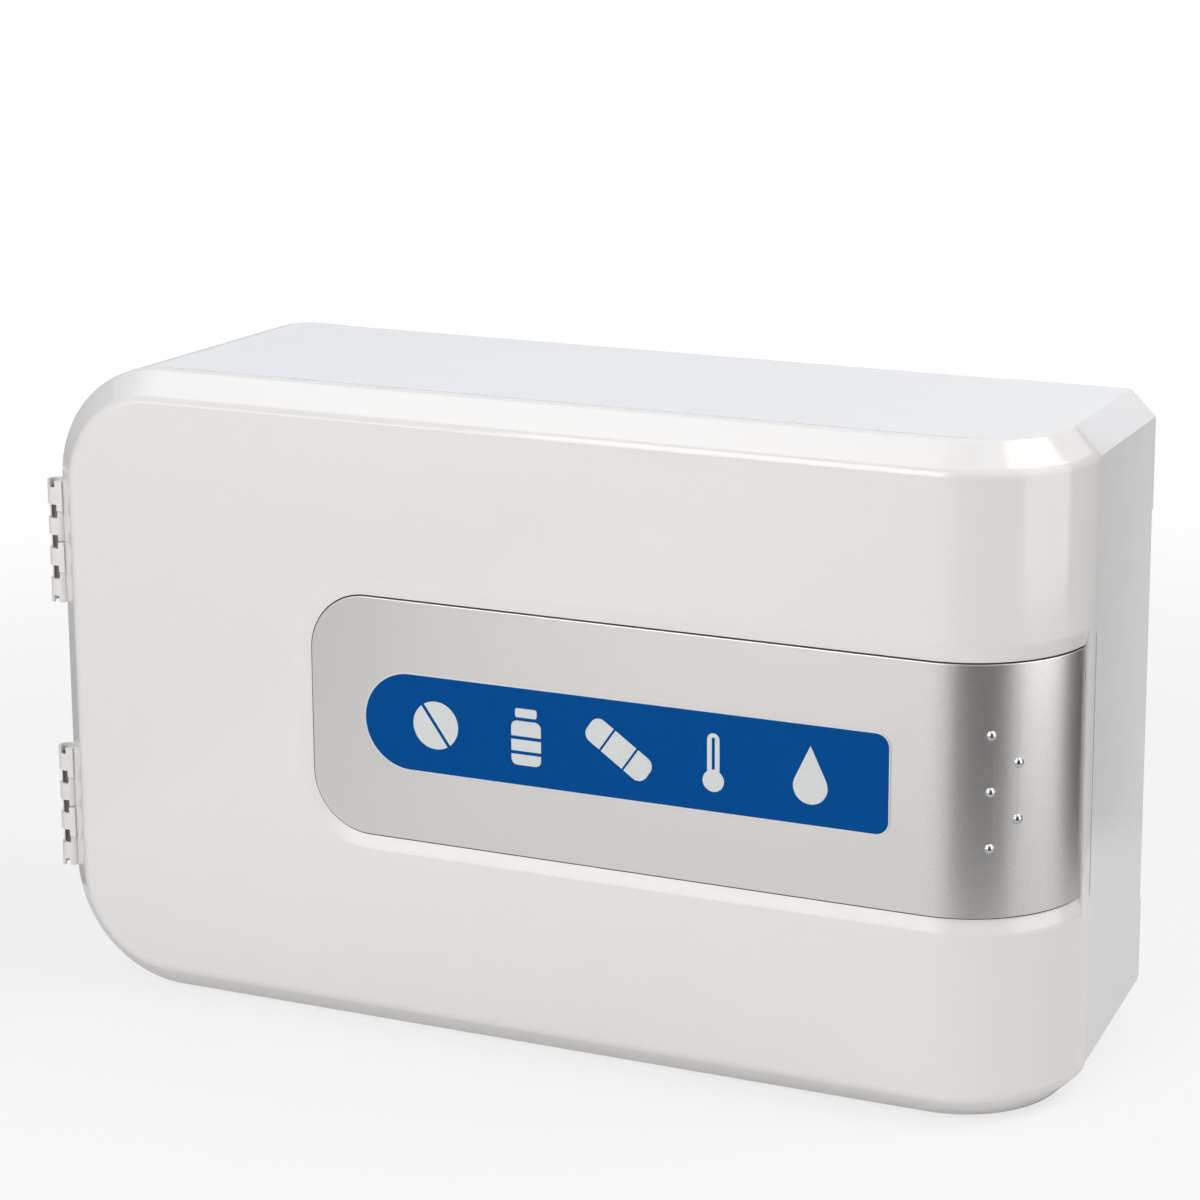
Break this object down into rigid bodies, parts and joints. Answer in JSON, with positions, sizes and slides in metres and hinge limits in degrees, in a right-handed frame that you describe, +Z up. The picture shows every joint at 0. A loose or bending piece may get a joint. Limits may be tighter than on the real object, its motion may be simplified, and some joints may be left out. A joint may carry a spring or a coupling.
{
  "type": "first aid cabinet",
  "caption": "White wall-mount cabinet with a side-hinged door that wraps round one end, a silver trim panel with a blue label, a shelf and dividers.",
  "frame": {"origin": "middle of the closed cabinet's footprint, hinge knuckles included, on the surface that it stands on", "axes": "+X from the hinged side to the wrapped end, +Y from the door back to the wall, +Z up"},
  "size_m": [0.3774, 0.122, 0.229],
  "materials": {
    "body_plastic": "glossy white moulded plastic",
    "door_plastic": "glossy white moulded plastic",
    "inner_plastic": "satin white sheet plastic",
    "hinge_plastic": "satin off-white moulded plastic",
    "steel": "plain zinc plated steel",
    "catch_plastic": "satin white plastic",
    "magnet": "dark ferrite",
    "bumper": "soft grey rubber",
    "trim_metal": "satin silver with a fine sparkle",
    "label": "blue printed film, semi-gloss",
    "chrome": "polished",
    "strike_metal": "warm plated steel"
  },
  "bodies": {
    "cabinet": {"cabinet_body": "body_plastic", "shelf": "inner_plastic", "lower_left_divider": "inner_plastic", "lower_right_divider": "inner_plastic", "upper_divider": "inner_plastic", "upper_hinge_body_leaf": "hinge_plastic", "lower_hinge_body_leaf": "hinge_plastic", "upper_hinge_pin": "steel", "lower_hinge_pin": "steel", "body_leaf_screws": "steel", "catch_housing": "catch_plastic", "catch_magnet": "magnet", "catch_pole_plates": "steel", "catch_screws": "steel", "door_bumpers": "bumper"},
    "door": {"door_shell": "door_plastic", "trim_panel": "trim_metal", "panel_clips": "steel", "label_plate": "label", "grip_studs": "chrome", "upper_hinge_door_leaf": "hinge_plastic", "lower_hinge_door_leaf": "hinge_plastic", "door_leaf_screws": "steel", "strike_plate": "strike_metal", "strike_screw": "steel"}
  },
  "joints": [
    {"name": "door_swing", "type": "hinge", "parent": "cabinet", "child": "door", "pos_m": [-0.1853, -0.04925, 0.1145], "axis": [0, 0, -1], "range_deg": [0, 180]}
  ]
}
